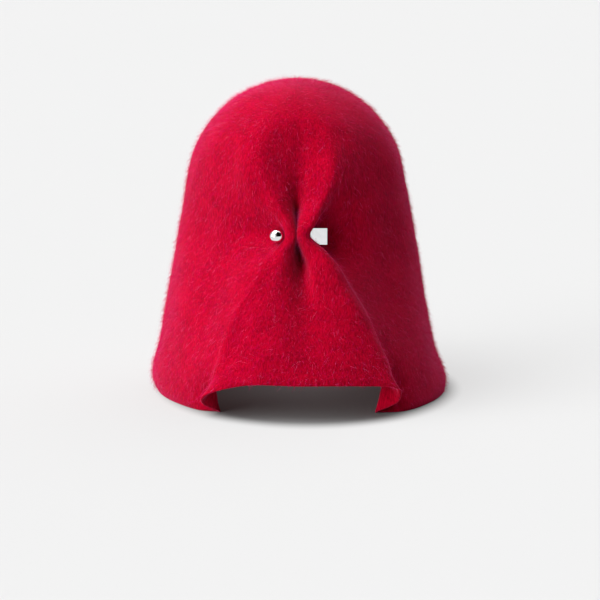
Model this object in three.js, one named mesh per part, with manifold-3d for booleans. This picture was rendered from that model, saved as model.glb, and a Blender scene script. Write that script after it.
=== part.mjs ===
// A cloche hat of blocked wool felt. The front is gathered into a pleat, and a straight post with a
// ball on one end and a square block on the other pierces the two lips of the pleat.
// Millimetres, +Z up. The front faces -Y, so the wearer's left is +X. The hat stands on its rim.
import * as THREE from "three";
import { mergeVertices } from "three/addons/utils/BufferGeometryUtils.js";
import Module from "manifold-3d";

// The plain bell: a round dome that runs over into a cone
const HAT_HEIGHT = 250;
const DOME_RADIUS = 87;
const FLARE = THREE.MathUtils.degToRad(10.6);
const DEPTH_RATIO = 1.05;
const FELT_THICKNESS = 2.6;

// Near the post the felt is drawn thin over the lips of the pleat, and by a share of that at the
// lifted front edge
const DRAWN_THICKNESS = 1.4;
const DRAWN_REACH = 28;
const EDGE_SHARE = 0.6;

// The rim leans to the wearer's left below this height
const RIM_SHIFT = 4;
const RIM_SHIFT_HEIGHT = 34;

// The cut edge lies level on the floor and turns square to the felt where the front lifts it this far
const LEVEL_RIM_HEIGHT = 12;

// The post and its two ends
const GAP = 0.3;
const BAR_OUT = 87.1;
const BAR_HEIGHT = 136;
const BAR_RADIUS = 0.8;
const BALL_RADIUS = 5.7;
const BALL_CENTRE = -14.9;
const SQUARE_SIZE = 12.9;
const SQUARE_THICKNESS = 3.6;
const SQUARE_INNER_EDGE = 10.4;
const SQUARE_BEVEL = 0.4;
const SOCKET_DEPTH = 4.5;

// How finely the round shapes are faceted, and how near corners must be to count as one
const HOLE_SIDES = 10;
const BALL_SEGMENTS = 20;
const BALL_RINGS = 14;
const BEVEL_SEGMENTS = 2;
const SAME_POINT = 1e-5;

// How far the turned lip stands out of the cone at each height above the floor
const LIP = table(
  ["height", "out"],
  [
    [60, 0],
    [42, 0],
    [25, 1.5],
    [15, 2.2],
    [7, 0.9],
    [0, -2],
  ],
);

// The bottom of the pleat from the crown down: the height of the plain bell there, the place of the
// crease across and out of the axis, how far the front is lifted, and the rows of facets below it
const CREASE = table(
  ["height", "across", "out", "lift", "rows"],
  [
    [222, 2, 64.5, 0, 1],
    [208, 4, 68.8, 0, 1],
    [194, 3.5, 72.6, 0, 2],
    [176, 1.5, 75.8, 0, 2],
    [158, 0.3, 75.5, 0, 2],
    [146, 0, 74, 0, 2],
    [135.5, 0, 73, 0, 2],
    [127, 0.6, 73.5, 0, 2],
    [116, 3.5, 81, 0, 2],
    [98, 6, 94.5, 0, 2],
    [82, 7, 102, 2.5, 2],
    [62, 7.5, 108.6, 9, 3],
    [32, 6.5, 117.2, 18, 2],
    [14, 5, 121.4, 23.3, 2],
    [0, 3.3, 124.3, 27.5, 0],
  ],
);
const DOME_ROWS = 5;
const PLAIN_DOME_RUN = 60;

// The pleat on each side of the crease, a row for each height in CREASE: its inner wall, the crest of
// the lip, the outer flank, the neck where it meets the body, and the cheek that it draws in
const PLEAT_COLUMNS = [
  "wallAcross", "wallOut", "ridgeAcross", "ridgeOut", "flankAcross", "flankOut",
  "neckAcross", "neckOut", "cheekAcross", "cheekOut",
];
const LEFT_PLEAT = table(PLEAT_COLUMNS, [
  [11, 64, 20, 63, 27, 60.2, 32, 57.4, 39.5, 51.2],
  [13.5, 69.4, 25, 70.3, 32, 67.6, 37.5, 64, 46.5, 57],
  [13.5, 74.8, 26.5, 78, 33, 75.6, 39.5, 70.2, 49, 61],
  [11.5, 81, 24, 84.5, 30.5, 82.2, 37, 76.3, 50, 63.4],
  [6.5, 83.5, 16, 88.8, 21.5, 86.2, 27.5, 79, 51.5, 64.6],
  [2.4, 86.5, 9.5, 91.3, 12.9, 88.4, 15.6, 80.5, 51.5, 64.6],
  [1.2, 89, 6.8, 93.4, 10.4, 89.6, 10.3, 81.2, 52, 64.8],
  [3, 89, 13.5, 95.8, 18.5, 92.2, 17, 82, 52.8, 65.5],
  [10.5, 94, 21.5, 98.7, 29.5, 95, 31, 85, 55.5, 66.5],
  [16, 101.3, 31, 102.3, 39.5, 98, 44, 89.5, 62, 69.5],
  [22, 105.7, 41, 105, 49.5, 99.8, 53, 91.5, 67.5, 72],
  [30, 110.3, 50, 107.7, 59, 102, 62, 94, 75, 75.5],
  [38, 116.2, 62, 111.3, 71, 105, 71, 97.5, 85, 80.5],
  [41.5, 119.4, 69, 113, 74.5, 105.5, 70, 96.5, 85.5, 84.5],
  [43, 121.5, 75.5, 113.8, 78, 105, 66.8, 95, 84, 89],
]);
const RIGHT_PLEAT = table(PLEAT_COLUMNS, [
  [7, 65.6, 17, 64.8, 24.5, 62, 30, 58.6, 39, 51.5],
  [8, 71.3, 24, 73.8, 31, 71, 37, 66.6, 46.5, 58],
  [8.5, 75, 24, 78, 32.3, 75.4, 39.5, 70.7, 48.8, 60.8],
  [9.5, 79.5, 21.5, 82, 29.5, 80, 37.5, 75.6, 50.3, 62.3],
  [5.2, 82.8, 12.5, 86.8, 19.5, 84.4, 28, 79.3, 50.3, 62.6],
  [1.6, 86.5, 6.5, 90.4, 11.3, 87.8, 17.5, 80.8, 50.3, 62.4],
  [1, 88.8, 4.4, 92.6, 7.6, 89, 11.2, 80.8, 50.8, 62.4],
  [1.8, 88.3, 8.5, 94, 14, 91.4, 19.5, 84.3, 51.6, 63.8],
  [3.5, 91, 11.5, 96.8, 20, 94.6, 29.5, 87.5, 53.8, 66.8],
  [6, 99.5, 17.5, 102.3, 29, 98.7, 40, 91.5, 58.8, 71.8],
  [9.5, 106.4, 26, 106.5, 39.5, 100, 48.5, 92.5, 64.6, 76.1],
  [13, 111.8, 33, 109.6, 47, 102, 56, 95.5, 72, 80],
  [22, 118, 45, 112.5, 57.5, 104.5, 64, 98, 80, 83],
  [31, 119.6, 58, 113, 65.5, 104.5, 64, 95.5, 79, 84.3],
  [39, 120.6, 69.5, 112.8, 71.6, 103.5, 61.8, 91.5, 76, 85.5],
]);

// The share of the front's lift that the wall, the ridge and the flank take on each side
const LEFT_LIFT = { wall: 0.985, ridge: 0.86, flank: 0.43 };
const RIGHT_LIFT = { wall: 0.985, ridge: 0.66, flank: 0.33 };

// The lines that run down the felt: their turn from the front on the plain bell, the columns of facets
// up to the next line, and the share of the cheek's draw that the lines behind it follow
const LINES = table(
  ["name", "turn", "columns", "followAcross", "followOut"],
  [
    ["crease", 0, 3, 0, 0],
    ["wall", 7, 4, 0, 0],
    ["ridge", 14, 3, 0, 0],
    ["flank", 20, 3, 0, 0],
    ["neck", 26, 3, 0, 0],
    ["cheek", 39, 2, 1, 1],
    ["temple", 55, 2, 0.6, 1.02],
    ["ear", 72, 2, 0.22, 0.6],
    ["side", 90, 2, 0, 0],
    ["sideBack", 112, 2, 0, 0],
    ["quarterBack", 135, 2, 0, 0],
    ["nearBack", 158, 2, 0, 0],
    ["back", 180, 0, 0, 0],
  ],
);

// Sizes that follow from the ones above
const DOME_CENTRE = HAT_HEIGHT - DOME_RADIUS;
const CONE_TOP = DOME_CENTRE + DOME_RADIUS * Math.sin(FLARE);
const CONE_TOP_RADIUS = DOME_RADIUS * Math.cos(FLARE);
const DOME_RUN = DOME_RADIUS * (Math.PI / 2 - FLARE);

function table(columns, rows) {
  return rows.map((row) => Object.fromEntries(columns.map((name, i) => [name, row[i]])));
}

// A smooth curve through values at rising knots, level at its start
function curveThrough(knots, values, at) {
  const last = knots.length - 1;
  const slope = (i) => (values[i + 1] - values[i]) / (knots[i + 1] - knots[i]);
  const tangent = (i) => {
    if (i === 0) return 0;
    if (i === last) return slope(last - 1);
    const before = knots[i] - knots[i - 1];
    const after = knots[i + 1] - knots[i];
    return (slope(i - 1) * after + slope(i) * before) / (before + after);
  };
  const above = knots.findIndex((knot, i) => i > 0 && at <= knot);
  const i = (above < 0 ? last : above) - 1;
  const span = knots[i + 1] - knots[i];
  const t = (at - knots[i]) / span;
  const bend = t * t * (3 - 2 * t);
  const leave = t * (1 - t) * (1 - t) * tangent(i) - t * t * (1 - t) * tangent(i + 1);
  return values[i] + (values[i + 1] - values[i]) * bend + span * leave;
}

// A smooth curve through evenly spaced values on a ring
function curveAround(ring, at) {
  const i = Math.floor(at);
  const t = at - i;
  const [a, b, c, d] = [-1, 0, 1, 2].map((step) => ring(i + step));
  const square = 2 * a - 5 * b + 4 * c - d;
  const cube = 3 * b - a - 3 * c + d;
  return (2 * b + (c - a) * t + square * t * t + cube * t * t * t) / 2;
}

function lipOut(height) {
  if (height >= LIP[0].height) return 0;
  return curveThrough(LIP.map((row) => -row.height), LIP.map((row) => row.out), -height);
}

// The run is the way down the plain bell from the tip of the crown
function runAt(height) {
  if (height > CONE_TOP) return DOME_RADIUS * Math.acos((height - DOME_CENTRE) / DOME_RADIUS);
  return DOME_RUN + (CONE_TOP - height) / Math.cos(FLARE);
}

function bell(turn, run) {
  const onDome = run <= DOME_RUN;
  const angle = run / DOME_RADIUS;
  const below = run - DOME_RUN;
  const height = onDome ? DOME_CENTRE + DOME_RADIUS * Math.cos(angle) : CONE_TOP - below * Math.cos(FLARE);
  const radius = onDome ? DOME_RADIUS * Math.sin(angle) : CONE_TOP_RADIUS + below * Math.sin(FLARE);
  const reach = radius + lipOut(height);
  const lean = THREE.MathUtils.clamp(1 - height / RIM_SHIFT_HEIGHT, 0, 1);
  const across = reach * Math.sin(turn) + RIM_SHIFT * lean * lean;
  return new THREE.Vector3(across, -DEPTH_RATIO * reach * Math.cos(turn), height);
}

// How far the pleat draws each line of one side off the plain bell at one row of the tables
function draws(rowIndex, side) {
  const crease = CREASE[rowIndex];
  const pleat = (side > 0 ? LEFT_PLEAT : RIGHT_PLEAT)[rowIndex];
  const lift = side > 0 ? LEFT_LIFT : RIGHT_LIFT;
  const run = runAt(crease.height);
  const drawn = (line, across, out, share) => {
    const height = crease.height + crease.lift * share;
    return new THREE.Vector3(across, -out, height).sub(bell(side * turnOf(line), run));
  };
  const cheek = drawn(lineNamed("cheek"), side * pleat.cheekAcross, pleat.cheekOut, 0);
  return LINES.map((line) => {
    if (line.name === "crease") return drawn(line, crease.across, crease.out, 1);
    if (`${line.name}Across` in pleat && line.name !== "cheek") {
      const across = side * pleat[`${line.name}Across`];
      return drawn(line, across, pleat[`${line.name}Out`], lift[line.name] ?? 0);
    }
    return new THREE.Vector3(cheek.x * line.followAcross, cheek.y * line.followOut, 0);
  });
}

function lineNamed(name) {
  return LINES.find((line) => line.name === name);
}

function turnOf(line) {
  return THREE.MathUtils.degToRad(line.turn);
}

// The lines in order round the hat: down the wearer's left to the back, and up the right
function ringOfLines() {
  const left = LINES.map((line, i) => ({ side: 1, index: i, turn: turnOf(line), columns: line.columns }));
  const right = LINES.slice(1, -1).map((line, i) => ({
    side: -1,
    index: i + 1,
    turn: 2 * Math.PI - turnOf(line),
    columns: LINES[i].columns,
  }));
  left[left.length - 1].columns = LINES[LINES.length - 2].columns;
  return left.concat(right.reverse());
}

// The place on the ring of each column of facets
function columnPlaces(ring) {
  return ring.flatMap(({ columns }, i) => Array.from({ length: columns }, (_, step) => i + step / columns));
}

// The run of each row of facets
function rowRuns() {
  const runs = [];
  const stretch = (from, to, rows) => {
    for (let i = 0; i < rows; i += 1) runs.push(from + ((to - from) * i) / rows);
  };
  stretch(0, PLAIN_DOME_RUN, DOME_ROWS);
  stretch(PLAIN_DOME_RUN, runAt(CREASE[0].height), 1);
  CREASE.slice(0, -1).forEach((row, i) => {
    stretch(runAt(row.height), runAt(CREASE[i + 1].height), row.rows);
  });
  runs.push(runAt(0));
  return runs;
}

// The outer face of the felt as rows of points, from the tip of the crown to the rim
function outerRows(ring) {
  const stations = [0, PLAIN_DOME_RUN].concat(CREASE.map((row) => runAt(row.height)));
  const still = LINES.map(() => new THREE.Vector3());
  const drawnAt = (side) => [still, still].concat(CREASE.map((_, i) => draws(i, side)));
  const tables = { 1: drawnAt(1), [-1]: drawnAt(-1) };
  const count = ring.length;
  const wrap = (i) => ((i % count) + count) % count;
  const turn = (i) => ring[wrap(i)].turn + Math.floor(i / count) * 2 * Math.PI;
  return rowRuns().map((run) => {
    const drawOf = (line, axis) =>
      curveThrough(stations, tables[line.side].map((row) => row[line.index][axis]), run);
    const drawn = ring.map((line) => ["x", "y", "z"].map((axis) => drawOf(line, axis)));
    return columnPlaces(ring).map((place) => {
      const draw = [0, 1, 2].map((axis) => curveAround((i) => drawn[wrap(i)][axis], place));
      const point = bell(curveAround(turn, place), run).add(new THREE.Vector3(...draw));
      point.z = Math.max(point.z, 0);
      return point;
    });
  });
}

function thicknessAt(place, height, count) {
  const { smoothstep, lerp } = THREE.MathUtils;
  const neck = LINES.indexOf(lineNamed("neck"));
  const beside = smoothstep(Math.min(place, count - place), neck, neck + 1);
  const fromPost = smoothstep(Math.abs(height - BAR_HEIGHT), DRAWN_REACH / 2, DRAWN_REACH);
  const fromEdge = smoothstep(height, DRAWN_REACH, 2 * DRAWN_REACH);
  const drawn = Math.max(1 - fromPost, EDGE_SHARE * (1 - fromEdge)) * (1 - beside);
  return lerp(FELT_THICKNESS, DRAWN_THICKNESS, drawn);
}

// The inner face: the outer one moved in by the thickness of the felt
function innerRows(rows, ring) {
  const lastRow = rows.length - 1;
  const places = columnPlaces(ring);
  return rows.map((row, i) =>
    row.map((point, j) => {
      if (i === 0) return point.clone().setZ(point.z - FELT_THICKNESS);
      const around = row[(j + 1) % row.length].clone().sub(row[(j - 1 + row.length) % row.length]);
      const down = rows[Math.min(i + 1, lastRow)][j].clone().sub(rows[i - 1][j]);
      const outward = down.cross(around);
      if (i === lastRow) outward.z *= THREE.MathUtils.smoothstep(point.z, 0, LEVEL_RIM_HEIGHT);
      const thickness = thicknessAt(places[j], point.z, ring.length);
      return point.clone().addScaledVector(outward.normalize(), -thickness);
    }),
  );
}

function feltGeometry() {
  const ring = ringOfLines();
  const outer = outerRows(ring);
  const inner = innerRows(outer, ring);
  const columns = outer[0].length;
  const positions = [];
  const triangle = (...corners) => corners.forEach((corner) => positions.push(...corner.toArray()));
  const quad = (a, b, c, d) => {
    triangle(a, b, c);
    triangle(a, c, d);
  };
  for (let j = 0; j < columns; j += 1) {
    const next = (j + 1) % columns;
    triangle(outer[0][0], outer[1][j], outer[1][next]);
    triangle(inner[0][0], inner[1][next], inner[1][j]);
    for (let i = 1; i < outer.length - 1; i += 1) {
      quad(outer[i][j], outer[i + 1][j], outer[i + 1][next], outer[i][next]);
      quad(inner[i][j], inner[i][next], inner[i + 1][next], inner[i + 1][j]);
    }
    const rim = outer.length - 1;
    quad(outer[rim][j], inner[rim][j], inner[rim][next], outer[rim][next]);
  }
  const geometry = new THREE.BufferGeometry();
  geometry.setAttribute("position", new THREE.Float32BufferAttribute(positions, 3));
  return geometry;
}

const wasm = await Module();
wasm.setup();

function solidOf(geometry) {
  const plain = geometry.clone();
  plain.deleteAttribute("normal");
  plain.deleteAttribute("uv");
  const merged = mergeVertices(plain, SAME_POINT);
  const mesh = new wasm.Mesh({
    numProp: 3,
    vertProperties: new Float32Array(merged.attributes.position.array),
    triVerts: new Uint32Array(merged.index.array),
  });
  return new wasm.Manifold(mesh);
}

function cut(geometry, ...tools) {
  const solid = tools.reduce((body, tool) => body.subtract(solidOf(tool)), solidOf(geometry));
  const mesh = solid.getMesh();
  const result = new THREE.BufferGeometry();
  result.setAttribute("position", new THREE.Float32BufferAttribute(mesh.vertProperties, 3));
  result.setIndex(Array.from(mesh.triVerts));
  result.computeVertexNormals();
  return result;
}

// A round rod along X on the axis of the post, between two distances across
function rodAcross(from, to, radius) {
  const rod = new THREE.CylinderGeometry(radius, radius, to - from, HOLE_SIDES);
  rod.rotateZ(Math.PI / 2);
  rod.translate((from + to) / 2, -BAR_OUT, BAR_HEIGHT);
  return rod;
}

// The block with eased edges; grown by a margin it is the dent that it presses into the felt
function squareGeometry(margin) {
  const half = SQUARE_SIZE / 2 - SQUARE_BEVEL + margin;
  const face = new THREE.Shape();
  face.moveTo(-half, -half);
  face.lineTo(half, -half);
  face.lineTo(half, half);
  face.lineTo(-half, half);
  face.closePath();
  const depth = SQUARE_THICKNESS - 2 * SQUARE_BEVEL + 2 * margin;
  const block = new THREE.ExtrudeGeometry(face, {
    depth,
    bevelSize: SQUARE_BEVEL,
    bevelThickness: SQUARE_BEVEL,
    bevelSegments: BEVEL_SEGMENTS,
  });
  block.translate(0, 0, -depth / 2);
  block.rotateX(Math.PI / 2);
  block.translate(SQUARE_INNER_EDGE + SQUARE_SIZE / 2, -BAR_OUT, BAR_HEIGHT);
  return block;
}

function ballGeometry() {
  const ball = new THREE.SphereGeometry(BALL_RADIUS, BALL_SEGMENTS, BALL_RINGS);
  ball.rotateX(Math.PI / 2);
  ball.translate(BALL_CENTRE, -BAR_OUT, BAR_HEIGHT);
  return ball;
}

const ballSocketEnd = BALL_CENTRE + BALL_RADIUS - SOCKET_DEPTH;
const squareSocketEnd = SQUARE_INNER_EDGE + SOCKET_DEPTH;
const barFrom = ballSocketEnd + GAP;
const barTo = squareSocketEnd - GAP;

const felt = new THREE.MeshStandardMaterial({ color: 0xc00f38, roughness: 0.95, metalness: 0 });
const polishedMetal = new THREE.MeshStandardMaterial({ color: 0xdedfe2, roughness: 0.08, metalness: 1 });

const hole = rodAcross(BALL_CENTRE, SQUARE_INNER_EDGE + SQUARE_SIZE / 2, BAR_RADIUS + GAP);
const ballSocket = rodAcross(ballSocketEnd, 0, BAR_RADIUS + GAP);
const squareSocket = rodAcross(0, squareSocketEnd, BAR_RADIUS + GAP);

const pieces = {
  felt_hood: [cut(feltGeometry(), hole, squareGeometry(GAP)), felt],
  piercing_bar: [rodAcross(barFrom, barTo, BAR_RADIUS), polishedMetal],
  ball_end: [cut(ballGeometry(), ballSocket), polishedMetal],
  square_end: [cut(squareGeometry(0), squareSocket), polishedMetal],
};

const hat = new THREE.Group();
for (const [name, [geometry, material]] of Object.entries(pieces)) {
  const mesh = new THREE.Mesh(geometry, material);
  mesh.name = name;
  hat.add(mesh);
}

// Half the rim's lean brings the middle of the whole outline over the origin
hat.position.x = -RIM_SHIFT / 2;

export default hat;
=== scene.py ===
"""Looks of a red wool felt cloche hat whose pleated front is held by a polished piercing.

Sizes are in millimetres and meshes in metres. The hat stands on its rim at z = 0, its front faces -Y
and the wearer's left is +X.
"""
import logging
import math
from dataclasses import dataclass, field
from enum import Enum

import bpy
import numpy as np
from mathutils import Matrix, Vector


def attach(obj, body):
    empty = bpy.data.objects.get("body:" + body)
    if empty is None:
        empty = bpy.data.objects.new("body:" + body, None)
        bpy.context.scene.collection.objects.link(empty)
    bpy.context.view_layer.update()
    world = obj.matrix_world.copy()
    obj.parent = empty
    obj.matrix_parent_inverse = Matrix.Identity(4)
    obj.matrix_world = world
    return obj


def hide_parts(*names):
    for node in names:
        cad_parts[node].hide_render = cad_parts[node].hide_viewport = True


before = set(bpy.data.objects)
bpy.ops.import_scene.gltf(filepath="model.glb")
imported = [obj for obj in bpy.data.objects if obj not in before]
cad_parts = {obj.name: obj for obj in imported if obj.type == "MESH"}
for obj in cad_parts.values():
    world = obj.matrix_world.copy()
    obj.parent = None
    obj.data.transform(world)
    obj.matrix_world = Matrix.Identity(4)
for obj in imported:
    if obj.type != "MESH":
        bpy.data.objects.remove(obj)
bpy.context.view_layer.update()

LOG = logging.getLogger("cloche")
MM = 0.001
BODY = "root"
TONE = "tone"
Colour = tuple[float, float, float]
Row = tuple[float, ...]
Socket = bpy.types.NodeSocket
Piece = bpy.types.Object


class Slot(Enum):
    """The record's finishes."""

    FELT = "felt"
    POLISHED_METAL = "polished_metal"


class Side(Enum):
    """The wearer's two sides, as the sign of the way across."""

    LEFT = 1
    RIGHT = -1


class NodeSheet:
    """The nodes of one material, added and joined in turn."""

    def __init__(self, name: str) -> None:
        """Start a material.

        Args:
            name: the material's name.
        """
        self.material = bpy.data.materials.new(name)
        self.material.use_nodes = True
        self.nodes = self.material.node_tree.nodes
        self.links = self.material.node_tree.links
        self.shader = self.nodes["Principled BSDF"]
        self.place = self.nodes.new("ShaderNodeTexCoord").outputs["Object"]

    def set(self, **sockets: object) -> None:
        """Set plain values on the shader.

        Args:
            sockets: values by socket name, with _ for a space.
        """
        for name, value in sockets.items():
            self.shader.inputs[name.replace("_", " ")].default_value = value

    def stretched(self, scale: Row, shift: Row = (0, 0, 0)) -> Socket:
        """Give object coordinates drawn out and moved.

        Args:
            scale: the scale along each axis, under 1 for a pattern that runs along it.
            shift: what is added after that.

        Returns:
            The new coordinates.
        """
        mapping = self.nodes.new("ShaderNodeMapping")
        mapping.inputs["Scale"].default_value = scale
        mapping.inputs["Location"].default_value = shift
        self.links.new(self.place, mapping.inputs["Vector"])
        return mapping.outputs["Vector"]

    def noise(self, place: Socket, scale: float, detail: float) -> Socket:
        """Add a noise pattern.

        Args:
            place: the coordinates that it reads.
            scale: the pattern's scale for a metre.
            detail: how many finer layers it has.

        Returns:
            The pattern's value.
        """
        node = self.nodes.new("ShaderNodeTexNoise")
        node.inputs["Scale"].default_value = scale
        node.inputs["Detail"].default_value = detail
        self.links.new(place, node.inputs["Vector"])
        return node.outputs["Fac"]

    def attribute(self, name: str) -> Socket:
        """Read a value that the mesh carries.

        Args:
            name: the attribute's name.

        Returns:
            The attribute's value.
        """
        node = self.nodes.new("ShaderNodeAttribute")
        node.attribute_name = name
        return node.outputs["Fac"]

    def ramp(self, value: Socket, stops: list[tuple[float, Colour]]) -> Socket:
        """Turn a value into a colour.

        Args:
            value: the value.
            stops: places from 0 to 1 with their colours.

        Returns:
            The colour.
        """
        node = self.nodes.new("ShaderNodeValToRGB")
        elements = node.color_ramp.elements
        while len(elements) < len(stops):
            elements.new(0.5)
        for element, (at, colour) in zip(elements, stops):
            element.position = at
            element.color = (*colour, 1)
        self.links.new(value, node.inputs["Fac"])
        return node.outputs["Color"]

    def mixed(self, share: float, first: Socket, second: Socket) -> Socket:
        """Mix two values.

        Args:
            share: the second value's share.
            first: the first value.
            second: the second value.

        Returns:
            The mix.
        """
        node = self.nodes.new("ShaderNodeMix")
        node.inputs["Factor"].default_value = share
        self.links.new(first, node.inputs["A"])
        self.links.new(second, node.inputs["B"])
        return node.outputs["Result"]

    def ranged(self, value: Socket, low: float, high: float) -> Socket:
        """Spread a value from 0 to 1 over a range.

        Args:
            value: the value.
            low: what 0 becomes.
            high: what 1 becomes.

        Returns:
            The spread value.
        """
        node = self.nodes.new("ShaderNodeMapRange")
        node.inputs["To Min"].default_value = low
        node.inputs["To Max"].default_value = high
        self.links.new(value, node.inputs["Value"])
        return node.outputs["Result"]

    def colour(self, value: Socket) -> None:
        """Join a colour to the shader."""
        self.links.new(value, self.shader.inputs["Base Color"])

    def roughness(self, value: Socket) -> None:
        """Join a roughness to the shader."""
        self.links.new(value, self.shader.inputs["Roughness"])

    def glow(self, value: Socket) -> None:
        """Join a strength of its own light to the shader."""
        self.links.new(value, self.shader.inputs["Emission Strength"])

    def beyond(self, place: Socket, near: float, far: float, most: float) -> Socket:
        """Give a value that rises with the distance from the origin.

        Args:
            place: the coordinates that it reads.
            near: the distance where it starts, in metres.
            far: the distance where it is full, in metres.
            most: the full value.

        Returns:
            The value.
        """
        distance = self.nodes.new("ShaderNodeVectorMath")
        distance.operation = "LENGTH"
        self.links.new(place, distance.inputs[0])
        node = self.nodes.new("ShaderNodeMapRange")
        node.interpolation_type = "SMOOTHSTEP"
        node.inputs["From Min"].default_value = near
        node.inputs["From Max"].default_value = far
        node.inputs["To Max"].default_value = most
        self.links.new(distance.outputs["Value"], node.inputs["Value"])
        return node.outputs["Result"]

    def bump(self, height: Socket, strength: float, distance: float) -> None:
        """Raise the surface.

        Args:
            height: the height pattern.
            strength: the bump's strength.
            distance: the height of a full step, in metres.
        """
        node = self.nodes.new("ShaderNodeBump")
        node.inputs["Strength"].default_value = strength
        node.inputs["Distance"].default_value = distance
        self.links.new(height, node.inputs["Height"])
        self.links.new(node.outputs["Normal"], self.shader.inputs["Normal"])


@dataclass(frozen=True)
class BrushedFelt:
    """Matt red wool felt with a nap that runs down the hat."""

    shade: Colour = (0.17, 0.0001, 0.006)
    body: Colour = (0.264, 0.0003, 0.0095)
    tip: Colour = (0.355, 0.0006, 0.0145)
    bloom: Colour = (0.85, 0.15, 0.35)
    stops: Row = (0.35, 0.5, 0.65)
    nap_scale: float = 1100.0
    nap_stretch: float = 0.22
    nap_detail: float = 3.0
    nap_strength: float = 0.55
    nap_height: float = 0.0005
    cloud_scale: float = 55.0
    cloud_detail: float = 4.0
    cloud_share: float = 0.25

    def material(self) -> bpy.types.Material:
        """Make the felt's material.

        Returns:
            The material.
        """
        sheet = NodeSheet("brushed_red_felt")
        nap = sheet.noise(sheet.stretched((1, 1, self.nap_stretch)), self.nap_scale, self.nap_detail)
        cloud = sheet.noise(sheet.place, self.cloud_scale, self.cloud_detail)
        tones = list(zip(self.stops, (self.shade, self.body, self.tip)))
        sheet.colour(sheet.ramp(sheet.mixed(self.cloud_share, nap, cloud), tones))
        sheet.set(Roughness=0.6, Specular_IOR_Level=0.0)
        sheet.set(Sheen_Weight=0.45, Sheen_Roughness=0.44)
        sheet.set(Sheen_Tint=(*self.bloom, 1))
        sheet.bump(nap, self.nap_strength, self.nap_height)
        return sheet.material


@dataclass(frozen=True)
class LooseWool:
    """Red wool fibres that stand out of the felt, each a little lighter or darker."""

    stops: Row = (0.0, 0.7, 1.0)
    dark: Colour = (0.215, 0.0003, 0.0092)
    light: Colour = (0.41, 0.0015, 0.024)
    pale: Colour = (0.72, 0.05, 0.16)

    def material(self) -> bpy.types.Material:
        """Make the fibres' material.

        Returns:
            The material.
        """
        sheet = NodeSheet("loose_red_wool")
        tones = list(zip(self.stops, (self.dark, self.light, self.pale)))
        sheet.colour(sheet.ramp(sheet.attribute(TONE), tones))
        sheet.set(Roughness=0.8, Specular_IOR_Level=0.0)
        sheet.set(Subsurface_Weight=0.7, Subsurface_Radius=(1, 0.25, 0.4), Subsurface_Scale=0.0006)
        return sheet.material


@dataclass(frozen=True)
class MirrorPolish:
    """Bright polished steel with the faint haze of handling."""

    steel: Colour = (0.86, 0.865, 0.875)
    worn: Colour = (0.80, 0.805, 0.82)
    stops: Row = (0.3, 0.7)
    haze_scale: float = 260.0
    haze_detail: float = 5.0
    smoothest: float = 0.03
    roughest: float = 0.09

    def material(self) -> bpy.types.Material:
        """Make the polished metal's material.

        Returns:
            The material.
        """
        sheet = NodeSheet("mirror_polished_steel")
        haze = sheet.noise(sheet.place, self.haze_scale, self.haze_detail)
        sheet.colour(sheet.ramp(haze, list(zip(self.stops, (self.worn, self.steel)))))
        sheet.roughness(sheet.ranged(haze, self.smoothest, self.roughest))
        sheet.set(Metallic=1.0)
        return sheet.material


@dataclass(frozen=True)
class StudioPaper:
    """The pale paper that the hat stands on."""

    light: Colour = (0.160, 0.160, 0.160)
    dark: Colour = (0.156, 0.156, 0.156)
    stops: Row = (0.3, 0.7)
    grain_scale: float = 400.0
    grain_detail: float = 2.0
    # painted light: the paper's own glow lightens the hat's shadow on the floor and fades out near the hat,
    # painting shade round its foot; the values below set its strength and that fade
    glow: float = 0.565
    glow_from: float = 0.103
    glow_full: float = 0.127
    glow_stretch: float = 0.85
    glow_middle: float = 0.008

    def material(self) -> bpy.types.Material:
        """Make the paper's material, which glows a little where the hat doesn't stand. Its glow is painted
        light that lightens the hat's shadow on the floor, and it fades out towards the hat, which paints
        shade round the hat's foot and under the arch.

        Returns:
            The material.
        """
        sheet = NodeSheet("studio_paper_painted_glow")
        grain = sheet.noise(sheet.place, self.grain_scale, self.grain_detail)
        sheet.colour(sheet.ramp(grain, list(zip(self.stops, (self.dark, self.light)))))
        sheet.set(Roughness=0.9, Specular_IOR_Level=0.0, Emission_Color=(1, 1, 1, 1))
        # painted shade: the glow is off under the hat and rises away from it, in a ring drawn out front to
        # back and moved a little towards the wearer's left
        place = sheet.stretched((1, self.glow_stretch, 1), (-self.glow_middle, 0, 0))
        sheet.glow(sheet.beyond(place, self.glow_from, self.glow_full, self.glow))
        return sheet.material


def select_only(piece: Piece) -> None:
    """Select one object and make it the active one.

    Args:
        piece: the object.
    """
    bpy.ops.object.select_all(action="DESELECT")
    piece.select_set(True)
    bpy.context.view_layer.objects.active = piece


def settle(piece: Piece, name: str) -> None:
    """Name an object and move its place, turn and scale into its mesh.

    Args:
        piece: the object.
        name: its name.
    """
    select_only(piece)
    bpy.ops.object.transform_apply(location=True, rotation=True, scale=True)
    piece.name = name
    piece.data.name = name


def cut_with(piece: Piece, cutter: Piece) -> None:
    """Cut one object out of another and remove the cutter.

    Args:
        piece: the object that is cut.
        cutter: the shape that is taken away.
    """
    select_only(piece)
    modifier = piece.modifiers.new("cut", "BOOLEAN")
    modifier.operation = "DIFFERENCE"
    modifier.solver = "EXACT"
    modifier.object = cutter
    bpy.ops.object.modifier_apply(modifier=modifier.name)
    bpy.data.objects.remove(cutter, do_unlink=True)


def dress(piece: Piece, material: bpy.types.Material) -> Piece:
    """Give a piece its material and body.

    Args:
        piece: the piece.
        material: its material.

    Returns:
        The piece.
    """
    piece.data.materials.clear()
    piece.data.materials.append(material)
    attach(piece, BODY)
    LOG.info("%s: %d faces", piece.name, len(piece.data.polygons))
    return piece


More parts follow.
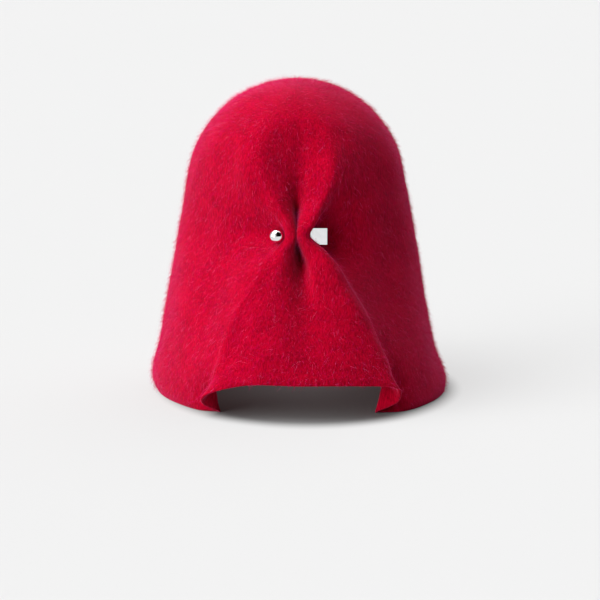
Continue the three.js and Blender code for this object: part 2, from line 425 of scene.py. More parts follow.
def curve_through(knots: np.ndarray, values: np.ndarray, at: np.ndarray) -> np.ndarray:
    """Follow a smooth curve through values at rising knots, level at its start.

    Args:
        knots: the knots.
        values: a row of values for each knot.
        at: where the curve is read.

    Returns:
        A row of values for each place in at.
    """
    span = np.diff(knots)
    slope = np.diff(values, axis=0) / span[:, None]
    tangent = np.zeros_like(values)
    weight = span[:-1] + span[1:]
    tangent[1:-1] = (slope[:-1] * span[1:, None] + slope[1:] * span[:-1, None]) / weight[:, None]
    tangent[-1] = slope[-1]
    i = np.clip(np.searchsorted(knots, at, side="left") - 1, 0, len(span) - 1)
    t = ((at - knots[i]) / span[i])[:, None]
    leave = t * (1 - t) ** 2 * tangent[i] - t * t * (1 - t) * tangent[i + 1]
    return values[i] + (values[i + 1] - values[i]) * t * t * (3 - 2 * t) + span[i][:, None] * leave


def curve_around(ring: np.ndarray, at: np.ndarray, step: float = 0.0) -> np.ndarray:
    """Follow a smooth closed curve through evenly spaced values.

    Args:
        ring: the values, evenly spaced along the first axis.
        at: where the curve is read, in spaces.
        step: what a full turn adds.

    Returns:
        The curve's values.
    """
    count = len(ring)
    i = np.floor(at).astype(int)
    t = (at - i).reshape(-1, *([1] * (ring.ndim - 1)))
    a, b, c, d = (
        ring[(i + k) % count] + step * ((i + k) // count).reshape(t.shape) for k in (-1, 0, 1, 2)
    )
    square = 2 * a - 5 * b + 4 * c - d
    cube = 3 * b - a - 3 * c + d
    return (2 * b + (c - a) * t + square * t ** 2 + cube * t ** 3) / 2


def ease(value: np.ndarray, low: float, high: float) -> np.ndarray:
    """Rise smoothly from 0 at low to 1 at high."""
    t = np.clip((value - low) / (high - low), 0, 1)
    return t * t * (3 - 2 * t)


def unit(vectors: np.ndarray) -> np.ndarray:
    """Scale vectors to length one."""
    return vectors / np.maximum(np.linalg.norm(vectors, axis=-1, keepdims=True), 1e-12)


@dataclass(frozen=True)
class PleatLine:
    """A line that runs down the felt.

    Fields: its name, its turn from the front on the plain bell, how many columns of faces follow it, and
    its share of the cheek's draw.
    """

    name: str
    turn: float
    columns: int
    follow_across: float = 0.0
    follow_out: float = 0.0


@dataclass
class FeltHood:
    """The blocked felt: a bell whose front is drawn into a pleat."""

    height: float = 250.0
    dome_radius: float = 87.0
    flare: float = math.radians(10.6)
    depth_ratio: float = 1.05
    thickness: float = 2.6
    drawn_thickness: float = 1.4
    drawn_reach: float = 28.0
    edge_share: float = 0.6
    rim_shift: float = 4.0
    rim_shift_height: float = 34.0
    level_rim_height: float = 12.0
    edge_ease: float = 0.5
    plain_dome_run: float = 60.0
    dome_rows: int = 16
    row_step: float = 2.1
    post_height: float = 136.0
    wave_seed: int = 11
    wave_count: int = 26
    wave_lengths: Row = (5, 14)
    wave_height: float = 0.32
    calm_floor: Row = (3, 30)
    calm_post: Row = (14, 34)
    inner_smoothing: int = 4
    weld: float = 1e-6
    slot: float = 0.12
    slot_lines: int = 2
    # Each line's share of the front edge's lift, from the crease to the cheek
    left_lift: Row = (1.0, 0.985, 0.86, 0.43, 0.0, 0.0)
    right_lift: Row = (1.0, 0.985, 0.66, 0.33, 0.0, 0.0)
    # Height above the floor, and how far the turned lip stands out of the cone there
    lip: tuple[Row, ...] = (
        (90, 0), (62, -0.8), (44, -1), (30, 0.2), (20, 2), (13, 2.4), (6, 0.8), (0, -2),
    )
    # Height on the plain bell, the crease's place across and out of the axis, and the front's lift
    crease: tuple[Row, ...] = (
        (222, 2, 64.5, 0), (208, 4, 68.8, 0), (194, 3.5, 72.6, 0), (176, 1.5, 75.8, 0),
        (158, 0.3, 75.5, 0), (146, 0, 74, 0), (135.5, 0, 73, 0), (127, 0.8, 74.5, 0),
        (116, 3.5, 82, 0), (98, 6, 94.5, 0), (82, 7, 102, 2.5), (62, 7.5, 108.6, 9),
        (32, 6.5, 117.2, 18), (14, 5, 121.4, 23.3), (0, 3.3, 124.3, 27.5),
    )
    # Across and out of the axis of the wall, the ridge, the flank, the neck and the cheek, by crease row
    left_pleat: tuple[Row, ...] = (
        (11, 64, 20, 63, 27, 60.2, 32, 57.4, 39.5, 51.2),
        (13.5, 69.4, 25, 70.3, 32, 67.6, 37.5, 64, 46.5, 57),
        (13.5, 74.8, 26.5, 78, 33, 75.6, 39.5, 70.2, 49, 61),
        (11.5, 81, 24, 84.5, 30.5, 82.2, 37, 76.3, 50, 63.4),
        (6.5, 83.5, 16, 88.8, 21.5, 86.2, 27.5, 79, 51.5, 64.6),
        (1.6, 88, 10, 92.2, 15, 89.9, 15.9, 80.5, 51.5, 64.6),
        (0.1, 91, 6.2, 93.9, 10.6, 90.2, 10.3, 81.2, 52, 64.8),
        (3.5, 90.3, 14.6, 96, 20.6, 92.6, 18.5, 82, 52.8, 65.5),
        (10.5, 95, 23.5, 99.6, 30.5, 95.4, 31, 85, 55.5, 66.5),
        (16, 101.3, 32.5, 103.2, 40.3, 98.4, 44, 89.5, 62, 69.5),
        (22, 105.7, 42, 105.8, 50, 100, 53, 91.5, 67.5, 72),
        (30, 110.3, 50, 107.7, 59, 102, 62, 94, 75, 75.5),
        (38, 116.2, 62, 111.3, 71, 105, 69.5, 97.3, 85, 80.5),
        (41.5, 119.4, 69, 113, 74.5, 105.5, 65.5, 96, 85.5, 84.5),
        (43, 121.5, 75.5, 113.8, 78, 105, 62, 94.3, 84, 89),
    )
    right_pleat: tuple[Row, ...] = (
        (7, 65.6, 17, 64.8, 24.5, 62, 30, 58.6, 39, 51.5),
        (8, 71.3, 24, 73.8, 31, 71, 37, 66.6, 46.5, 58),
        (8.5, 75, 24, 78, 32.3, 75.4, 39.5, 70.7, 48.8, 60.8),
        (9.5, 79.5, 21.5, 82, 29.5, 80, 37.5, 75.6, 50.3, 62.3),
        (5.2, 82.8, 12.5, 86.8, 19.5, 84.4, 28, 79.3, 50.3, 62.6),
        (1.2, 87, 6.5, 90.4, 11.4, 87.6, 17.8, 80.9, 50.3, 62.4),
        (0.1, 90.5, 4.4, 93, 9.4, 89.4, 11.5, 81, 50.8, 62.4),
        (2, 89.3, 8.5, 94, 14, 91.4, 20, 84.5, 51.6, 63.8),
        (3, 92.5, 11.5, 97, 20, 94.6, 29.5, 87.5, 53.8, 66.8),
        (6, 100, 17.5, 102.3, 29, 98.7, 40, 91.5, 58.8, 71.8),
        (9.5, 106.4, 26, 106.5, 39.5, 100, 48.5, 92.5, 64.6, 76.1),
        (13, 111.8, 33, 109.6, 47, 102, 56, 95.5, 72, 80),
        (22, 118, 45, 112.5, 57.5, 104.5, 64, 98, 80, 83),
        (31, 119.6, 58, 113, 65.5, 104.5, 62.3, 95.3, 79, 84.3),
        (39, 120.6, 69.5, 112.8, 71.6, 103.5, 59.8, 91.3, 76, 85.5),
    )
    # Height on the plain bell, which line the wearer's right soft fold follows there, and its own height
    soft_fold: tuple[Row, ...] = (
        (127, 3.75, 0), (112, 3.55, 1.7), (98, 3.35, 2.5), (62, 3.3, 2.9),
        (32, 3, 2.7), (14, 2.95, 1.7), (0, 2.85, 0.8),
    )
    # How wide that fold is towards the crease and away from it, in lines
    soft_fold_widths: Row = (0.55, 1.05)
    lines: tuple[PleatLine, ...] = (
        PleatLine("crease", 0, 14), PleatLine("wall", 7, 16), PleatLine("ridge", 14, 12),
        PleatLine("flank", 20, 12), PleatLine("neck", 26, 12), PleatLine("cheek", 39, 11, 1, 1),
        PleatLine("temple", 55, 10, 0.6, 1.02), PleatLine("ear", 72, 9, 0.22, 0.6),
        PleatLine("side", 90, 8), PleatLine("side_back", 112, 8), PleatLine("quarter_back", 135, 8),
        PleatLine("near_back", 158, 8), PleatLine("back", 180, 0),
    )
    outer: np.ndarray = field(init=False)
    inner: np.ndarray = field(init=False)

    @property
    def dome_centre(self) -> float:
        """The height of the dome's middle."""
        return self.height - self.dome_radius

    @property
    def cone_top(self) -> float:
        """The height where the dome runs over into the cone."""
        return self.dome_centre + self.dome_radius * math.sin(self.flare)

    @property
    def dome_run(self) -> float:
        """The way down the dome from its tip to the cone."""
        return self.dome_radius * (math.pi / 2 - self.flare)

    def run_at(self, height: float) -> float:
        """Give the way down the plain bell to a height.

        Args:
            height: the height above the floor.

        Returns:
            The way down from the tip.
        """
        if height > self.cone_top:
            return self.dome_radius * math.acos((height - self.dome_centre) / self.dome_radius)
        return self.dome_run + (self.cone_top - height) / math.cos(self.flare)

    def lip_out(self, height: np.ndarray) -> np.ndarray:
        """Give how far the lip stands out of the cone.

        Args:
            height: heights above the floor.

        Returns:
            How far out it stands at each height.
        """
        rows = np.array(self.lip, float)
        below = np.minimum(height.ravel(), rows[0, 0])
        return curve_through(-rows[:, 0], rows[:, 1:], -below)[:, 0].reshape(height.shape)

    def bell(self, turn: np.ndarray, run: np.ndarray) -> np.ndarray:
        """Give points of the plain bell.

        Args:
            turn: turns from the front, in radians.
            run: ways down from the tip.

        Returns:
            The points, in millimetres.
        """
        angle = np.minimum(run, self.dome_run) / self.dome_radius
        below = np.maximum(run - self.dome_run, 0)
        height = self.dome_centre + self.dome_radius * np.cos(angle) - below * math.cos(self.flare)
        reach = self.dome_radius * np.sin(angle) + below * math.sin(self.flare) + self.lip_out(height)
        lean = np.clip(1 - height / self.rim_shift_height, 0, 1)
        across = reach * np.sin(turn) + self.rim_shift * lean * lean
        out = self.depth_ratio * reach * np.cos(turn)
        return np.stack(np.broadcast_arrays(across, -out, height), -1)

    def draws(self, side: Side) -> np.ndarray:
        """Give how far the pleat draws each line of one side off the plain bell.

        Args:
            side: the side.

        Returns:
            An array of crease rows by lines by three.
        """
        pleat = np.array(self.left_pleat if side is Side.LEFT else self.right_pleat, float)
        lift = self.left_lift if side is Side.LEFT else self.right_lift
        drawn = np.zeros((len(self.crease), len(self.lines), 3))
        for row, (height, across, out, rise) in enumerate(self.crease):
            places = [(across, out)] + [
                (side.value * a, o) for a, o in zip(pleat[row, 0::2], pleat[row, 1::2])
            ]
            run = np.array(self.run_at(height))
            for line, (at, share) in enumerate(zip(places, lift)):
                turn = np.array(side.value * math.radians(self.lines[line].turn))
                target = np.array((at[0], -at[1], height + rise * share))
                drawn[row, line] = target - self.bell(turn, run)
            cheek = drawn[row, len(places) - 1].copy()
            for line in range(len(places) - 1, len(self.lines)):
                follow = (self.lines[line].follow_across, self.lines[line].follow_out, 0)
                drawn[row, line] = cheek * follow
        return drawn

    def runs(self) -> np.ndarray:
        """Space out the rows of points.

        Returns:
            The way down to each row.
        """
        stations = [self.plain_dome_run] + [self.run_at(row[0]) for row in self.crease]
        parts = [np.linspace(0, self.plain_dome_run, self.dome_rows, endpoint=False)]
        for start, end in zip(stations, stations[1:]):
            count = max(2, round((end - start) / self.row_step))
            parts.append(np.linspace(start, end, count, endpoint=False))
        return np.concatenate(parts + [np.array(stations[-1:])])

    def places(self) -> np.ndarray:
        """Space out the columns of points.

        Returns:
            Each column's place on the ring of lines, from the crease round by the wearer's left.
        """
        columns = [line.columns for line in self.lines[:-1]]
        columns = columns + columns[::-1]
        return np.concatenate([i + np.arange(count) / count for i, count in enumerate(columns)])

    def uneven(self, points: np.ndarray, outward: np.ndarray) -> np.ndarray:
        """Add the gentle waves of felt that was shaped by hand.

        Args:
            points: the felt's outer points.
            outward: their normals.

        Returns:
            The moved points.
        """
        rng = np.random.default_rng(self.wave_seed)
        waves = np.zeros(points.shape[:2])
        for _ in range(self.wave_count):
            way = unit(rng.normal(size=3)) / rng.uniform(*self.wave_lengths)
            waves += np.sin(points @ way + rng.uniform(0, 2 * math.pi))
        waves *= self.wave_height / math.sqrt(self.wave_count / 2)
        from_post = np.abs(points[..., 2] - self.post_height)
        calm = ease(points[..., 2], *self.calm_floor) * ease(from_post, *self.calm_post)
        return points + outward * (waves * calm)[..., None]

    def normals(self, points: np.ndarray) -> np.ndarray:
        """Give the outward normals of a grid of points that closes round the hat.

        Args:
            points: rows down by columns round by three.

        Returns:
            The normals, in the same order.
        """
        around = np.roll(points, -1, 1) - np.roll(points, 1, 1)
        down = np.gradient(points, axis=0)
        outward = unit(np.cross(down, around))
        outward[0] = (0, 0, 1)
        return outward

    def fold_out(self, runs: np.ndarray, lines: np.ndarray) -> np.ndarray:
        """Give how far the soft fold stands out.

        Args:
            runs: the ways down to the rows.
            lines: each column's place among the lines on the wearer's right, counted from the crease.

        Returns:
            An array of rows by columns.
        """
        height, line, out = np.array(self.soft_fold).T
        at = [self.run_at(value) for value in height]
        away = lines[None, :] - np.interp(runs, at, line)[:, None]
        width = np.where(away < 0, *self.soft_fold_widths)
        return np.interp(runs, at, out)[:, None] * np.exp(-((away / width) ** 2))

    def outer_face(self) -> np.ndarray:
        """Work out the felt's outer face.

        Returns:
            Its points, rows down by columns round by three, in millimetres.
        """
        runs, places = self.runs(), self.places()
        knots = np.array([0, self.plain_dome_run] + [self.run_at(row[0]) for row in self.crease])
        sides = []
        for side in Side:
            draws = self.draws(side)
            still = np.zeros((2, *draws.shape[1:]))
            rows = np.concatenate([still, draws]).reshape(len(knots), -1)
            sides.append(curve_through(knots, rows, runs).reshape(len(runs), len(self.lines), 3))
        ring = np.concatenate([sides[0], sides[1][:, -2:0:-1]], axis=1)
        turns = [math.radians(line.turn) for line in self.lines]
        turns = np.array(turns + [2 * math.pi - turn for turn in turns[-2:0:-1]])
        turn = curve_around(turns, places, 2 * math.pi)
        drawn = np.moveaxis(curve_around(np.moveaxis(ring, 1, 0), places), 0, 1)
        points = self.bell(turn[None, :], runs[:, None]) + drawn
        points = points + self.normals(points) * self.fold_out(runs, len(turns) - places)[..., None]
        points[..., 2] = np.maximum(points[..., 2], 0)
        middle = points[:, :1, 0]
        left = (places > 0) & (places < self.slot_lines)
        right = places > len(turns) - self.slot_lines
        points[:, left, 0] = np.maximum(points[:, left, 0], middle + self.slot / 2)
        points[:, right, 0] = np.minimum(points[:, right, 0], middle - self.slot / 2)
        return self.uneven(points, self.normals(points))

    def thickness_at(self, points: np.ndarray) -> np.ndarray:
        """Give the felt's thickness.

        Args:
            points: the points of its outer face.

        Returns:
            The thickness at each point.
        """
        places = self.places()
        neck = [line.name for line in self.lines].index("neck")
        beside = ease(np.minimum(places, 2 * (len(self.lines) - 1) - places), neck, neck + 1)
        from_post = np.abs(points[..., 2] - self.post_height)
        from_post = ease(from_post, self.drawn_reach / 2, self.drawn_reach)
        from_edge = ease(points[..., 2], self.drawn_reach, 2 * self.drawn_reach)
        drawn = np.maximum(1 - from_post, self.edge_share * (1 - from_edge)) * (1 - beside)
        return self.thickness + (self.drawn_thickness - self.thickness) * drawn

    def inner_face(self, outer: np.ndarray) -> np.ndarray:
        """Work out the felt's inner face: the outer one moved in by the thickness.

        Args:
            outer: the outer face's points.

        Returns:
            The inner face's points, in the same order.
        """
        outward = self.normals(outer)
        level = ease(outer[-1, :, 2], 0, self.level_rim_height)
        outward[-1, :, 2] *= level
        for _ in range(self.inner_smoothing):
            beside = np.roll(outward, 1, 1) + np.roll(outward, -1, 1)
            outward = unit(2 * outward + beside)
        outward[-1, :, 2] *= level
        inner = outer - unit(outward) * self.thickness_at(outer)[..., None]
        inner[..., 2] = np.maximum(inner[..., 2], 0)
        return inner

    def rim_rows(self) -> list[np.ndarray]:
        """Work out the cut edge, with eased corners.

        Returns:
            Its rows of points, from the outer face to the inner one.
        """
        outer, inner = self.outer[-1], self.inner[-1]
        share = self.edge_ease / self.thickness
        return [outer + (inner - outer) * at for at in (share, 0.5, 1 - share)]

    def build(self, piercing: "Piercing") -> Piece:
        """Drape a grid over the felt and close its seam and its two poles.

        Args:
            piercing: what presses into the felt.

        Returns:
            The felt's object.
        """
        outer = self.outer_face()
        depth = self.thickness_at(outer)
        self.outer = piercing.press_into(outer, np.zeros_like(depth))
        self.inner = piercing.press_into(self.inner_face(outer), depth)
        shift = np.array((-self.rim_shift / 2, 0, 0))
        self.outer += shift
        self.inner += shift
        rim = self.rim_rows()
        back = self.edge_ease * unit(self.outer[-2] - self.outer[-1])
        self.outer[-1] += back
        self.inner[-1] += back
        rows = np.concatenate([self.outer, np.array(rim), self.inner[::-1]])
        rows = np.concatenate([rows, rows[:, :1]], axis=1) * MM
        bpy.ops.object.select_all(action="DESELECT")
        bpy.ops.mesh.primitive_grid_add(
            x_subdivisions=rows.shape[1] - 1, y_subdivisions=rows.shape[0] - 1, size=1,
        )
        hood = bpy.context.object
        hood.data.vertices.foreach_set("co", rows.astype(np.float32).ravel())
        hood.data.update()
        bpy.ops.object.mode_set(mode="EDIT")
        bpy.ops.mesh.select_all(action="SELECT")
        bpy.ops.mesh.remove_doubles(threshold=self.weld)
        bpy.ops.mesh.normals_make_consistent(inside=False)
        bpy.ops.object.mode_set(mode="OBJECT")
        bpy.ops.object.shade_smooth()
        settle(hood, "brushed_felt_hood")
        return hood


@dataclass
class Piercing:
    """The polished post through the pleat, with a ball on one end and a square block on the other."""

    out: float = 87.1
    height: float = 136.0
    shift: float = -2.0
    gap: float = 0.3
    bar_radius: float = 0.8
    ball_radius: float = 5.7
    ball_centre: float = -14.9
    square_size: float = 12.9
    square_thickness: float = 3.6
    square_inner_edge: float = 10.4
    square_ease: float = 0.2
    socket_depth: float = 4.5
    socket_overcut: float = 2.0
    land_width: float = 0.1
    snug: float = 0.1
    held_out: Row = (0.1, 0.8)
    held_up: Row = (0.3, 2.0)
    ball_segments: int = 64
    ball_rings: int = 40
    rod_sides: int = 32
    ease_segments: int = 4
    ball_smoothing: float = math.radians(35)
    square_smoothing: float = math.radians(8)

    def at(self, across: float) -> Vector:
        """Give a point on the post's axis, in metres."""
        return Vector((across + self.shift, -self.out, self.height)) * MM

    @property
    def square_centre(self) -> float:
        """The block's middle across."""
        return self.square_inner_edge + self.square_size / 2

    def plain_ball(self) -> Piece:
        """Add a ball on the post's axis with its poles on it.

        Returns:
            The ball.
        """
        bpy.ops.object.select_all(action="DESELECT")
        bpy.ops.mesh.primitive_uv_sphere_add(
            segments=self.ball_segments, ring_count=self.ball_rings, radius=self.ball_radius * MM,
            location=self.at(self.ball_centre), rotation=(0, math.pi / 2, 0),
        )
        return bpy.context.object

    def plain_block(self) -> Piece:
        """Add the block with sharp edges.

        Returns:
            The block.
        """
        bpy.ops.object.select_all(action="DESELECT")
        bpy.ops.mesh.primitive_cube_add(
            size=1, location=self.at(self.square_centre),
            scale=np.array((self.square_size, self.square_thickness, self.square_size)) * MM,
        )
        return bpy.context.object

    def plain_rod(self, start: float, end: float, radius: float) -> Piece:
        """Add a rod along the post's axis.

        Args:
            start: its first end across.
            end: its last end across.
            radius: its radius.

        Returns:
            The rod.
        """
        bpy.ops.object.select_all(action="DESELECT")
        bpy.ops.mesh.primitive_cylinder_add(
            vertices=self.rod_sides, radius=radius * MM, depth=(end - start) * MM,
            location=self.at((start + end) / 2), rotation=(0, math.pi / 2, 0),
        )
        return bpy.context.object

    def press_into(self, points: np.ndarray, depth: np.ndarray) -> np.ndarray:
        """Press the block's edge and the ball into one face of the felt.

        Args:
            points: the face's points, in millimetres about the dome's axis.
            depth: how far under the felt's outer face each point lies.

        Returns:
            The pressed points.
        """
        pressed = points.copy()
        out, up = np.abs(points[..., 1] + self.out), np.abs(points[..., 2] - self.height)
        half_out, half_up = self.square_thickness / 2 + self.gap, self.square_size / 2 + self.gap
        held = 1 - ease(out - half_out, *self.held_out)
        held *= 1 - ease(up - half_up, *self.held_up)
        edge = self.square_inner_edge - self.gap - depth
        near = (points[..., 0] > 0) & (points[..., 0] < self.square_centre)
        sunk = np.where(near, np.maximum(points[..., 0] - edge, 0), 0)
        pressed[..., 0] -= sunk * held
        centre = np.array((self.ball_centre, -self.out, self.height))
        away = pressed - centre
        reach = np.linalg.norm(away, axis=-1, keepdims=True)
        least = self.ball_radius + self.snug + depth[..., None]
        return np.where(reach < least, centre + away / reach * least, pressed)

    def build_ball(self) -> Piece:
        """Model the ball: a sphere cut flat where the post enters, with a blind socket.

        Returns:
            The ball.
        """
        ball = self.plain_ball()
        settle(ball, "polished_ball")
        mouth = self.bar_radius + self.gap
        land = self.ball_centre + math.sqrt(self.ball_radius ** 2 - mouth ** 2)
        bpy.ops.object.mode_set(mode="EDIT")
        bpy.ops.mesh.select_all(action="SELECT")
        bpy.ops.mesh.bisect(
            plane_co=self.at(land), plane_no=(1, 0, 0), use_fill=True, clear_outer=True,
        )
        bpy.ops.mesh.inset(thickness=self.land_width * MM)
        bpy.ops.mesh.extrude_region_move(
            TRANSFORM_OT_translate={"value": (-self.socket_depth * MM, 0, 0)},
        )
        bpy.ops.object.mode_set(mode="OBJECT")
        bpy.ops.object.shade_smooth_by_angle(angle=self.ball_smoothing)
        return ball

    def build_block(self) -> Piece:
        """Model the square block with eased edges and a blind socket for the post.

        Returns:
            The block.
        """
        block = self.plain_block()
        settle(block, "polished_square")
        bpy.ops.object.mode_set(mode="EDIT")
        bpy.ops.mesh.select_all(action="SELECT")
        bpy.ops.mesh.bevel(
            offset=self.square_ease * MM, segments=self.ease_segments, profile=0.5, affect="EDGES",
        )
        bpy.ops.object.mode_set(mode="OBJECT")
        socket = self.plain_rod(
            self.square_inner_edge - self.socket_overcut, self.square_inner_edge + self.socket_depth,
            self.bar_radius + self.gap,
        )
        cut_with(block, socket)
        bpy.ops.object.shade_smooth_by_angle(angle=self.square_smoothing)
        return block

    def clear_of(self, points: np.ndarray, margin: float) -> np.ndarray:
        """Tell which points keep clear of the ball and the block.

        Args:
            points: the points, in metres.
            margin: how far they have to keep away, in millimetres.

        Returns:
            Whether each point does.
        """
        ball = np.linalg.norm(points - np.array(self.at(self.ball_centre)), axis=-1)
        half = np.array((self.square_size, self.square_thickness, self.square_size)) / 2 + margin
        inside = np.abs(points - np.array(self.at(self.square_centre))) < half * MM
        return (ball > (self.ball_radius + margin) * MM) & ~inside.all(-1)


@dataclass(frozen=True)
class FibreKind:
    """One kind of loose fibre.

    Fields: the piece's name, how many fibres it has, their shortest and longest length, their radius at the
    root, the least and most that they lift off the felt in degrees, how far they stray from the nap, whether
    they are bent, and their darkest and lightest tone.
    """

    name: str
    count: int
    length: Row
    radius: Row
    lift: Row
    stray: float
    bent: bool
    tones: Row


@dataclass
class LooseFibres:
    """The loose wool that stands out of the felt's outer face."""

    kinds: tuple[FibreKind, ...] = (
        *(FibreKind(name, 46000, (0.9, 2.6), (0.04, 0.065), (8, 50), 1.1, False, (0.0, 0.75))
          for name in ("short_fibres_a", "short_fibres_b")),
        *(FibreKind(name, 18000, (2.5, 6.0), (0.04, 0.065), (10, 56), 0.8, True, (0.1, 0.85))
          for name in ("long_fibres_a", "long_fibres_b")),
        FibreKind("guard_hairs", 16000, (3.5, 8.0), (0.035, 0.065), (5, 42), 0.6, True, (0.55, 1.0)),
    )
    rooted: float = 0.15
    floor_gap: float = 0.1
    clear: float = 0.2
    sway: float = 0.09
    bow: float = 0.12
    taper: float = 0.8
    tone_bias: float = 1.6
    aside: Row = (0.31, 0.53, 0.79)

    def roots(self, hood: FeltHood, count: int, rng: np.random.Generator) -> tuple[np.ndarray, ...]:
        """Scatter roots evenly over the felt's outer face.

        Args:
            hood: the felt.
            count: how many.
            rng: the random numbers.

        Returns:
            The roots, the outward normals and the ways down the nap.
        """
        points = np.concatenate([hood.outer, hood.outer[:, :1]], axis=1) * MM
        outward = hood.normals(hood.outer)
        outward = np.concatenate([outward, outward[:, :1]], axis=1)
        a, b, c, d = points[:-1, :-1], points[1:, :-1], points[1:, 1:], points[:-1, 1:]
        area = np.linalg.norm(np.cross(c - a, d - b), axis=-1)
        pick = rng.choice(area.size, count, p=(area / area.sum()).ravel())
        i, j = np.unravel_index(pick, area.shape)
        s, t = rng.random((2, count, 1))
        root = (a[i, j] * (1 - t) + d[i, j] * t) * (1 - s) + (b[i, j] * (1 - t) + c[i, j] * t) * s
        normal = unit(outward[i, j] + outward[i + 1, j + 1])
        down = unit(b[i, j] - a[i, j])
        return root, normal, down

    def build(self, kind: FibreKind, seed: int, hood: FeltHood, piercing: Piercing) -> Piece:
        """Make one piece of loose fibres, each a closed needle.

        Args:
            kind: the kind of fibre.
            seed: the seed of its random numbers.
            hood: the felt that they grow on.
            piercing: what they keep clear of.

        Returns:
            The fibres' object.
        """
        rng = np.random.default_rng(seed)
        root, normal, down = self.roots(hood, kind.count, rng)
        count = len(root)
        across = np.cross(normal, down)
        turn = rng.normal(0, kind.stray, (count, 1))
        lying = down * np.cos(turn) + across * np.sin(turn)
        lift = np.radians(rng.uniform(*kind.lift, (count, 1)))
        way = unit(lying * np.cos(lift) + normal * np.sin(lift))
        length = rng.uniform(*kind.length, (count, 1)) * MM
        radius = rng.uniform(*kind.radius, (count, 1)) * MM
        start = root - normal * self.rooted * MM
        tip = start + way * length
        bend = rng.normal(0, self.sway, (count, 1)) * np.cross(way, normal)
        bend += rng.uniform(0, self.bow, (count, 1)) * normal
        middle = (start + tip) / 2 + bend * length
        lowest = np.minimum(np.minimum(start[:, 2], tip[:, 2]), middle[:, 2])
        keep = lowest > self.floor_gap * MM + radius[:, 0]
        for points in (start, middle, tip):
            keep &= piercing.clear_of(points, self.clear)
        start, middle, tip, way, radius = (v[keep] for v in (start, middle, tip, way, radius))
        return self.needles(kind, rng, start, middle, tip, way, radius)

    def needles(
        self, kind: FibreKind, rng: np.random.Generator, start: np.ndarray, middle: np.ndarray,
        tip: np.ndarray, way: np.ndarray, radius: np.ndarray,
    ) -> Piece:
        """Make closed three-sided needles.

        Args:
            kind: the kind of fibre.
            rng: the random numbers.
            start: the roots.
            middle: the middles.
            tip: the tips.
            way: the ways from root to tip.
            radius: the radii at the root.

        Returns:
            The needles as one object.
        """
        count = len(start)
        side = unit(np.cross(way, np.array(self.aside)))
        over = np.cross(way, side)
        turns = np.arange(3) * 2 * math.pi / 3
        ring = side[:, None] * np.cos(turns)[:, None] + over[:, None] * np.sin(turns)[:, None]
        ring = ring * radius[:, None]
        rings = [start[:, None] + ring]
        if kind.bent:
            rings.append(middle[:, None] + ring * self.taper)
        points = np.concatenate(rings + [tip[:, None]], axis=1)
        last = 3 * len(rings)
        faces = [(2, 1, 0)]
        for base in range(0, last - 3, 3):
            for k in range(3):
                n = (k + 1) % 3
                faces += [(base + k, base + n, base + 3 + n), (base + k, base + 3 + n, base + 3 + k)]
        faces += [(last - 3 + k, last - 3 + (k + 1) % 3, last) for k in range(3)]
        corners = np.array(faces)[None] + (np.arange(count) * (last + 1))[:, None, None]
        mesh = bpy.data.meshes.new(kind.name)
        mesh.vertices.add(count * (last + 1))
        mesh.vertices.foreach_set("co", points.astype(np.float32).ravel())
        mesh.loops.add(corners.size)
        mesh.loops.foreach_set("vertex_index", corners.astype(np.int32).ravel())
        mesh.polygons.add(corners.size // 3)
        mesh.polygons.foreach_set("loop_start", np.arange(0, corners.size, 3, dtype=np.int32))
        mesh.update(calc_edges=True)
        mesh.shade_smooth()
        tone = mesh.attributes.new(TONE, "FLOAT", "POINT")
        low, high = kind.tones
        tones = low + (high - low) * rng.random(count) ** self.tone_bias
        tone.data.foreach_set("value", np.repeat(tones, last + 1).astype(np.float32))
        piece = bpy.data.objects.new(kind.name, mesh)
        bpy.context.collection.objects.link(piece)
        return piece


@dataclass(frozen=True)
class KeyLight:
    """A large soft light.

    Fields: its name, its turn from the front and its rise above the floor, how wide it looks, and its
    strength.
    """

    name: str
    turn: float
    rise: float
    width: float
    strength: float


@dataclass(frozen=True)
class Glow:
    """A broad glow on the studio's walls.

    Fields: its name, the way towards its middle, the cosine at its edge and its strength.
    """

    name: str
    way: Row
    edge: float
    strength: float


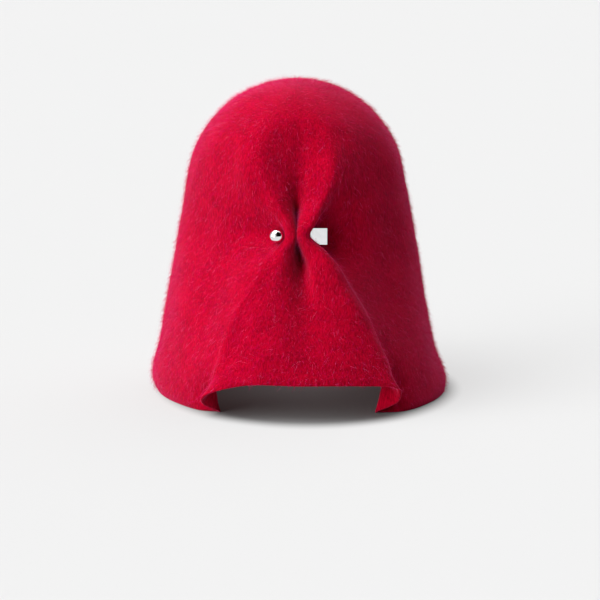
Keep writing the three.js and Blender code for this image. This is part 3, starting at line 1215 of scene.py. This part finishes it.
@dataclass
class Studio:
    """The pale floor, the soft light and the camera."""

    axis: float = -0.002
    camera_back: float = 1.423
    camera_height: float = 0.3285
    aim_height: float = 0.071
    pixels: int = 600
    pixels_per_mm: float = 1.23
    sensor: float = 36.0
    hat_pixel: float = 296.5
    floor_reach: float = 60.0
    keys: tuple[KeyLight, ...] = (
        KeyLight("low_key", math.radians(-57), math.radians(9), math.radians(46), 5.05),
        KeyLight("high_key", math.radians(-72), math.radians(63), math.radians(50), 3.7),
    )
    lamp_distance: float = 3.0
    wall_dark: float = 0.005
    wall_seen: float = 0.896
    glows: tuple[Glow, ...] = (
        Glow("left wall", (-1.0, -0.35, 0.1), 0.25, 1.0),
        Glow("back", (0.3, 0.5, 0.8), 0.65, 2.3),
        Glow("right card", (0.95, -0.12, 0.16), 0.97, 0.85),
    )
    inner_height: float = 0.09
    inner_size: float = 0.02
    inner_power: float = 0.12

    def build_floor(self) -> None:
        """Lay the floor."""
        bpy.ops.object.select_all(action="DESELECT")
        bpy.ops.mesh.primitive_plane_add(size=2 * self.floor_reach)
        floor = bpy.context.object
        settle(floor, "studio_floor")
        floor.data.materials.append(StudioPaper().material())

    def build_lights(self) -> None:
        """Hang the soft key lights to the left of the front, and light the walls."""
        for key in self.keys:
            light = bpy.data.lights.new(key.name, "SUN")
            light.energy = key.strength
            light.angle = key.width
            lamp = bpy.data.objects.new(key.name, light)
            bpy.context.collection.objects.link(lamp)
            level = math.cos(key.rise)
            towards = Vector((level * math.sin(key.turn), -level * math.cos(key.turn), math.sin(key.rise)))
            lamp.location = towards * self.lamp_distance
            lamp.rotation_euler = (-towards).to_track_quat("-Z", "Y").to_euler()
        bpy.context.scene.world = self.build_walls()
        bpy.context.scene.view_settings.view_transform = "Standard"

    def build_inner_fill(self) -> None:
        """Put a faint fill inside the hat, so that the floor under the arch is grey and not black."""
        light = bpy.data.lights.new("inner_fill", "POINT")
        light.energy = self.inner_power
        light.shadow_soft_size = self.inner_size
        lamp = bpy.data.objects.new("inner_fill", light)
        bpy.context.collection.objects.link(lamp)
        lamp.location = (0, 0, self.inner_height)

    def build_walls(self) -> bpy.types.World:
        """Surround the floor with dark walls and a few broad glows, behind a backdrop as pale as the floor.

        Returns:
            The world.
        """
        world = bpy.data.worlds.new("studio_walls")
        world.use_nodes = True
        nodes, links = world.node_tree.nodes, world.node_tree.links
        place = nodes.new("ShaderNodeTexCoord")
        total = nodes.new("ShaderNodeValue").outputs[0]
        total.default_value = self.wall_dark
        for glow in self.glows:
            towards = nodes.new("ShaderNodeVectorMath")
            towards.name = glow.name
            towards.operation = "DOT_PRODUCT"
            towards.inputs[1].default_value = unit(np.array(glow.way))
            links.new(place.outputs["Generated"], towards.inputs[0])
            spread = nodes.new("ShaderNodeMapRange")
            spread.interpolation_type = "SMOOTHSTEP"
            spread.inputs["From Min"].default_value = glow.edge
            spread.inputs["To Max"].default_value = glow.strength
            links.new(towards.outputs["Value"], spread.inputs["Value"])
            joined = nodes.new("ShaderNodeMath")
            links.new(total, joined.inputs[0])
            links.new(spread.outputs["Result"], joined.inputs[1])
            total = joined.outputs[0]
        links.new(total, nodes["Background"].inputs["Strength"])
        nodes["Background"].inputs["Color"].default_value = (1, 1, 1, 1)
        seen = nodes.new("ShaderNodeBackground")
        seen.inputs["Color"].default_value = (1, 1, 1, 1)
        seen.inputs["Strength"].default_value = self.wall_seen
        choice = nodes.new("ShaderNodeMixShader")
        links.new(nodes.new("ShaderNodeLightPath").outputs["Is Camera Ray"], choice.inputs["Fac"])
        links.new(nodes["Background"].outputs["Background"], choice.inputs[1])
        links.new(seen.outputs["Background"], choice.inputs[2])
        links.new(choice.outputs["Shader"], nodes["World Output"].inputs["Surface"])
        return world

    def build_camera(self) -> None:
        """Set up the camera at the photograph's angle."""
        lens = bpy.data.cameras.new("camera")
        camera = bpy.data.objects.new("camera", lens)
        bpy.context.collection.objects.link(camera)
        camera.location = (self.axis, -self.camera_back, self.camera_height)
        aim = Vector((self.axis, 0, self.aim_height))
        camera.rotation_euler = (aim - camera.location).to_track_quat("-Z", "Y").to_euler()
        distance = (aim - camera.location).length / MM
        lens.sensor_width = self.sensor
        lens.lens = self.pixels_per_mm * distance / self.pixels * self.sensor
        lens.shift_x = (self.pixels / 2 - self.hat_pixel) / self.pixels
        bpy.context.scene.camera = camera


def main() -> None:
    """Build the hat and the studio in order."""
    logging.basicConfig(level=logging.INFO, format="%(message)s")
    studio = Studio()
    studio.build_camera()
    studio.build_lights()
    studio.build_inner_fill()
    studio.build_floor()

    steel = MirrorPolish().material()
    piercing = Piercing()
    hood = FeltHood()
    felt = hood.build(piercing)
    dress(felt, BrushedFelt().material())
    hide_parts("felt_hood")

    ball = dress(piercing.build_ball(), steel)
    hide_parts("ball_end")
    block = dress(piercing.build_block(), steel)
    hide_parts("square_end")
    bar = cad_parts["piercing_bar"]
    bar.data.materials.clear()
    bar.data.materials.append(steel)
    LOG.info("%s: %d faces", bar.name, len(bar.data.polygons))

    wool = LooseWool().material()
    fibres = LooseFibres()
    for seed, kind in enumerate(fibres.kinds):
        dress(fibres.build(kind, seed, hood, piercing), wool)


if __name__ == "__main__":
    main()
